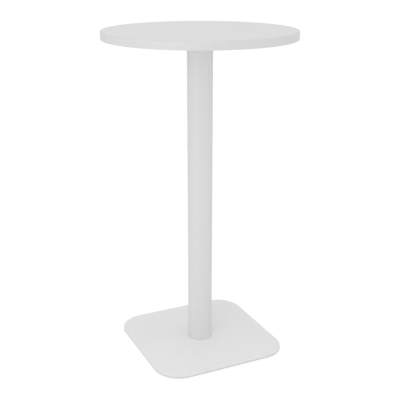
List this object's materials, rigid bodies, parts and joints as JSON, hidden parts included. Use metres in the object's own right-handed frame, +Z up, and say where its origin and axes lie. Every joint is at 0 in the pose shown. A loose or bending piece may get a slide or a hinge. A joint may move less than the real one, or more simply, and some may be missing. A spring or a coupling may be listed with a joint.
{
  "type": "standing meeting table",
  "caption": "Standing-height table: a round laminated top on a round steel column, bolted to a flat square base plate that stands on levelling glides.",
  "frame": {"origin": "on the floor under the middle of the column", "axes": "+Z up along the column; the base plate's sides lie along X and Y, and the table is alike from its four sides"},
  "size_m": [0.5999, 0.6, 1.05],
  "materials": {
    "top_face": "white high-pressure laminate, fine matt texture",
    "under_face": "white balancing laminate, matt",
    "core_board": "pressed chipboard",
    "edging": "white plastic edging, satin",
    "spider_coat": "die casting, white powder coat",
    "column_coat": "white powder coat, fine orange peel, satin",
    "base_coat": "white powder coat, fine orange peel, satin",
    "raw_steel": "turned mild steel, welded inside the tube",
    "zinc_steel": "bright zinc plate",
    "pad_nylon": "moulded black nylon"
  },
  "bodies": {
    "table": {"top_laminate": "top_face", "top_core": "core_board", "underside_laminate": "under_face", "edge_band": "edging", "threaded_inserts": "zinc_steel", "spider": "spider_coat", "spider_screws": "zinc_steel", "head_screws": "zinc_steel", "head_flange": "raw_steel", "column_tube": "column_coat", "foot_flange": "raw_steel", "base_plate": "base_coat", "base_screws": "zinc_steel"},
    "pad_front_left": {"glide_pad_front_left": "pad_nylon"},
    "stud_front_left": {"glide_stud_front_left": "zinc_steel"},
    "pad_front_right": {"glide_pad_front_right": "pad_nylon"},
    "stud_front_right": {"glide_stud_front_right": "zinc_steel"},
    "pad_back_left": {"glide_pad_back_left": "pad_nylon"},
    "stud_back_left": {"glide_stud_back_left": "zinc_steel"},
    "pad_back_right": {"glide_pad_back_right": "pad_nylon"},
    "stud_back_right": {"glide_stud_back_right": "zinc_steel"}
  },
  "joints": [
    {"name": "level_front_left", "type": "slide", "parent": "table", "child": "pad_front_left", "axis": [0, 0, -1], "range_m": [0, 0.003]},
    {"name": "turn_front_left", "type": "hinge", "parent": "pad_front_left", "child": "stud_front_left", "pos_m": [-0.16, -0.16, 0.007], "axis": [0, 0, -1], "range_deg": [0, 864]},
    {"name": "level_front_right", "type": "slide", "parent": "table", "child": "pad_front_right", "axis": [0, 0, -1], "range_m": [0, 0.003]},
    {"name": "turn_front_right", "type": "hinge", "parent": "pad_front_right", "child": "stud_front_right", "pos_m": [0.16, -0.16, 0.007], "axis": [0, 0, -1], "range_deg": [0, 864]},
    {"name": "level_back_left", "type": "slide", "parent": "table", "child": "pad_back_left", "axis": [0, 0, -1], "range_m": [0, 0.003]},
    {"name": "turn_back_left", "type": "hinge", "parent": "pad_back_left", "child": "stud_back_left", "pos_m": [-0.16, 0.16, 0.007], "axis": [0, 0, -1], "range_deg": [0, 864]},
    {"name": "level_back_right", "type": "slide", "parent": "table", "child": "pad_back_right", "axis": [0, 0, -1], "range_m": [0, 0.003]},
    {"name": "turn_back_right", "type": "hinge", "parent": "pad_back_right", "child": "stud_back_right", "pos_m": [0.16, 0.16, 0.007], "axis": [0, 0, -1], "range_deg": [0, 864]}
  ],
  "couplings": [
    {"joint": "level_front_left", "follows": "turn_front_left", "m_per_rad": 0.00019894},
    {"joint": "level_front_right", "follows": "turn_front_right", "m_per_rad": 0.00019894},
    {"joint": "level_back_left", "follows": "turn_back_left", "m_per_rad": 0.00019894},
    {"joint": "level_back_right", "follows": "turn_back_right", "m_per_rad": 0.00019894}
  ]
}
